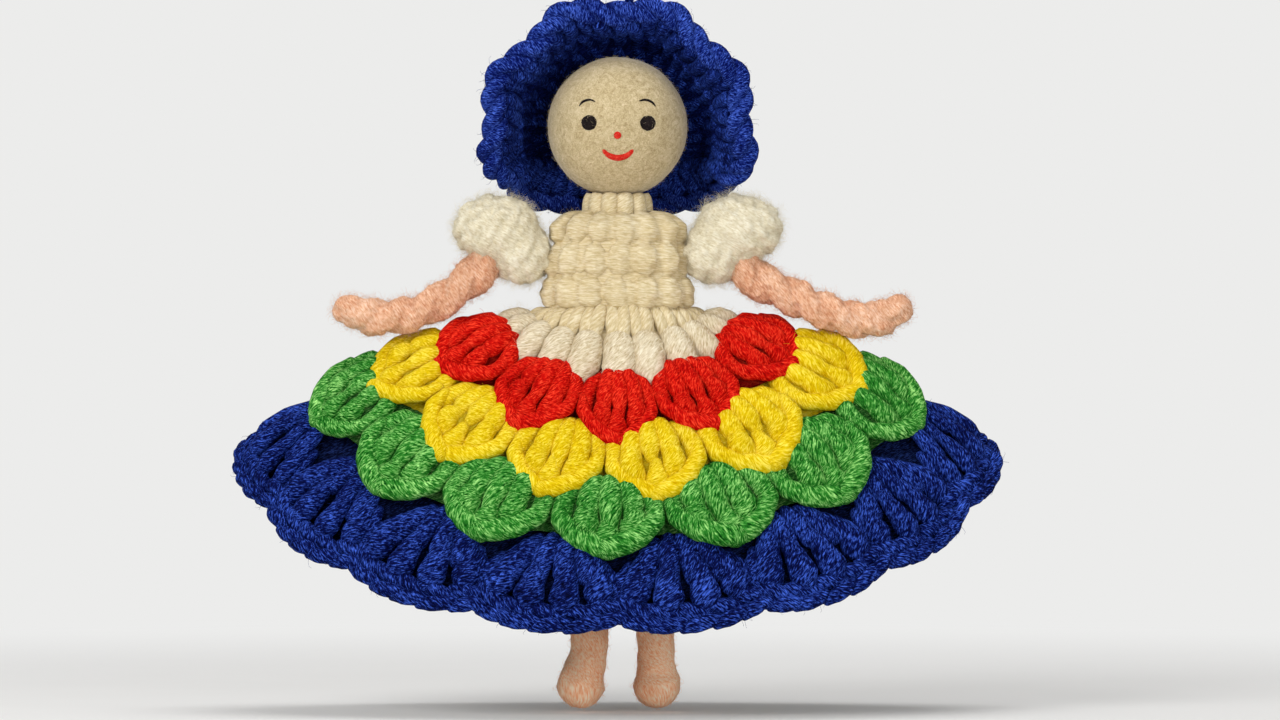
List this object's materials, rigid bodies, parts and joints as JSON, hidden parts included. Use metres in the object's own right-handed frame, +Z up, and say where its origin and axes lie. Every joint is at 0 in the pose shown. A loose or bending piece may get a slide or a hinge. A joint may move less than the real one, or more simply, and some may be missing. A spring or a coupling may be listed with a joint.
{
  "type": "crochet doll",
  "caption": "Small hanging crochet doll: felted ball head in a ruffled hood, puff sleeves, felted arms and legs, and a wide skirt of bobble stitches.",
  "frame": {"origin": "top of the hanging loop, where a hook or finger carries the doll", "axes": "+Z up, the doll faces -Y, +X across the skirt towards the viewer's right"},
  "size_m": [0.1354, 0.059, 0.1545],
  "materials": {
    "blue_yarn": "soft two-ply yarn",
    "felted_wool": "needle-felted, fuzzy",
    "dark_wool": "felted wisps",
    "red_wool": "felted wisps",
    "cream_yarn": "soft two-ply yarn",
    "fibre_filling": "loose fibre",
    "peach_yarn": "brushed, fuzzy yarn",
    "red_yarn": "soft two-ply yarn",
    "yellow_yarn": "soft two-ply yarn",
    "green_yarn": "soft two-ply yarn"
  },
  "bodies": {
    "head": {"hanging_loop": "blue_yarn", "bonnet_crown": "blue_yarn", "bonnet_brim": "blue_yarn", "bonnet_edge": "blue_yarn", "head_ball": "felted_wool", "eye_left": "dark_wool", "eye_right": "dark_wool", "brow_left": "dark_wool", "brow_right": "dark_wool", "nose": "red_wool", "mouth": "red_wool"},
    "torso": {"neck": "cream_yarn", "bodice": "cream_yarn", "body_base": "cream_yarn", "body_stuffing": "fibre_filling", "skirt_yoke": "cream_yarn", "skirt_red_row": "red_yarn", "skirt_yellow_row": "yellow_yarn", "skirt_green_row": "green_yarn", "skirt_blue_row": "blue_yarn", "skirt_hem_edge": "blue_yarn"},
    "arm_left": {"sleeve_left": "cream_yarn", "arm_left": "peach_yarn"},
    "arm_right": {"sleeve_right": "cream_yarn", "arm_right": "peach_yarn"},
    "leg_left": {"leg_left": "peach_yarn"},
    "leg_right": {"leg_right": "peach_yarn"}
  },
  "joints": [
    {"name": "neck_turn", "type": "hinge", "parent": "head", "child": "torso", "pos_m": [0, 0, -0.0648], "axis": [0, 0, 1], "range_deg": [-30, 30]},
    {"name": "shoulder_left", "type": "hinge", "parent": "torso", "child": "arm_left", "pos_m": [-0.0209, -0.001, -0.0698], "axis": [0, 1, 0], "range_deg": [-4, 60]},
    {"name": "shoulder_right", "type": "hinge", "parent": "torso", "child": "arm_right", "pos_m": [0.0209, -0.001, -0.0698], "axis": [0, -1, 0], "range_deg": [-4, 60]},
    {"name": "hip_left", "type": "hinge", "parent": "torso", "child": "leg_left", "pos_m": [-0.0055, 0, -0.0934], "axis": [1, 0, 0], "range_deg": [-24, 24]},
    {"name": "hip_right", "type": "hinge", "parent": "torso", "child": "leg_right", "pos_m": [0.0055, 0, -0.0934], "axis": [1, 0, 0], "range_deg": [-24, 24]}
  ]
}
